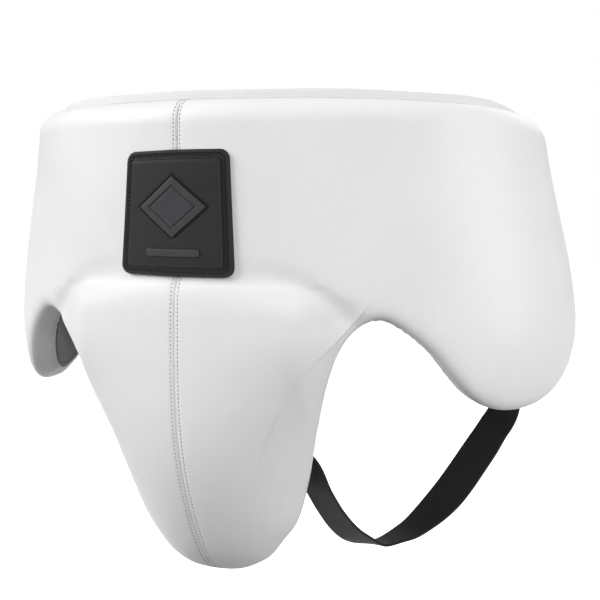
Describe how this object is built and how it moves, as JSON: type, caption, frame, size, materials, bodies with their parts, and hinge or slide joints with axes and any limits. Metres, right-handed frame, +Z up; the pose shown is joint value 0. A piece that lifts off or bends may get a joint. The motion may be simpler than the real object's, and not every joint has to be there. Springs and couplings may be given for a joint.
{
  "type": "groin protector",
  "caption": "Padded white leather groin guard with a hard cup, a lozenge badge, black elastic leg straps and a hook-and-loop back belt.",
  "frame": {"origin": "centre of the waist opening, level with the leather's top edge at the front", "axes": "+Z up along the wearer's body, -Y towards the front of the guard, +X to the wearer's left, along the guard's width"},
  "size_m": [0.4028, 0.2582, 0.3043],
  "materials": {
    "white_leather": "smooth white split leather with a soft satin coat",
    "foam": "closed-cell padding foam",
    "shell_plastic": "moulded polyethylene cup",
    "edge_rubber": "soft rubber bead",
    "grey_lining": "brushed polyester lining",
    "white_binding": "folded white binding tape",
    "seam_tape": "woven reinforcing tape",
    "patch_leather": "black embossed badge, satin",
    "elastic_webbing": "black woven elastic",
    "hook_and_loop": "black hook and loop"
  },
  "bodies": {
    "pad": {"leather_panel_left": "white_leather", "belt_foam_left": "foam", "lining_left": "grey_lining", "wing_tab_left": "white_leather", "cup_tab_left": "white_leather", "belt_root_left": "white_leather", "leather_panel_right": "white_leather", "belt_foam_right": "foam", "lining_right": "grey_lining", "wing_tab_right": "white_leather", "cup_tab_right": "white_leather", "belt_root_right": "white_leather", "cup_foam_front": "foam", "cup_foam_back": "foam", "cup_shell": "shell_plastic", "cup_gasket": "edge_rubber", "centre_seam_tape": "seam_tape", "top_binding": "white_binding", "patch_base": "patch_leather", "patch_panel": "patch_leather", "patch_lozenge": "patch_leather", "patch_bar": "patch_leather"},
    "long_belt": {"belt_long": "elastic_webbing", "hook_panel": "hook_and_loop"},
    "short_belt": {"belt_short": "elastic_webbing", "loop_panel": "hook_and_loop"},
    "pull_tab_body": {"pull_tab": "white_leather"},
    "strap_left_body": {"leg_strap_left": "elastic_webbing"},
    "strap_right_body": {"leg_strap_right": "elastic_webbing"}
  },
  "joints": [
    {"name": "long_belt_swing", "type": "hinge", "parent": "pad", "child": "long_belt", "pos_m": [0.16241, 0.0434, -0.06843], "axis": [0.1843, 0.0559, -0.9813], "range_deg": [0, 75]},
    {"name": "short_belt_swing", "type": "hinge", "parent": "pad", "child": "short_belt", "pos_m": [-0.16241, 0.0434, -0.06843], "axis": [0.1843, -0.0559, 0.9813], "range_deg": [0, 30]},
    {"name": "pull_tab_peel", "type": "hinge", "parent": "long_belt", "child": "pull_tab_body", "pos_m": [-0.13029, 0.08903, -0.0675], "axis": [-0.151, 0.0648, -0.9864], "range_deg": [0, 50]},
    {"name": "left_strap_swing", "type": "hinge", "parent": "pad", "child": "strap_left_body", "pos_m": [0.10568, -0.03802, -0.186], "axis": [0.7261, 0.5778, 0.3726], "range_deg": [0, 50]},
    {"name": "right_strap_swing", "type": "hinge", "parent": "pad", "child": "strap_right_body", "pos_m": [-0.10568, -0.03802, -0.186], "axis": [0.7261, -0.5778, -0.3726], "range_deg": [0, 50]}
  ],
  "couplings": [
    {"joint": "short_belt_swing", "follows": "long_belt_swing", "ratio": 0.4}
  ]
}
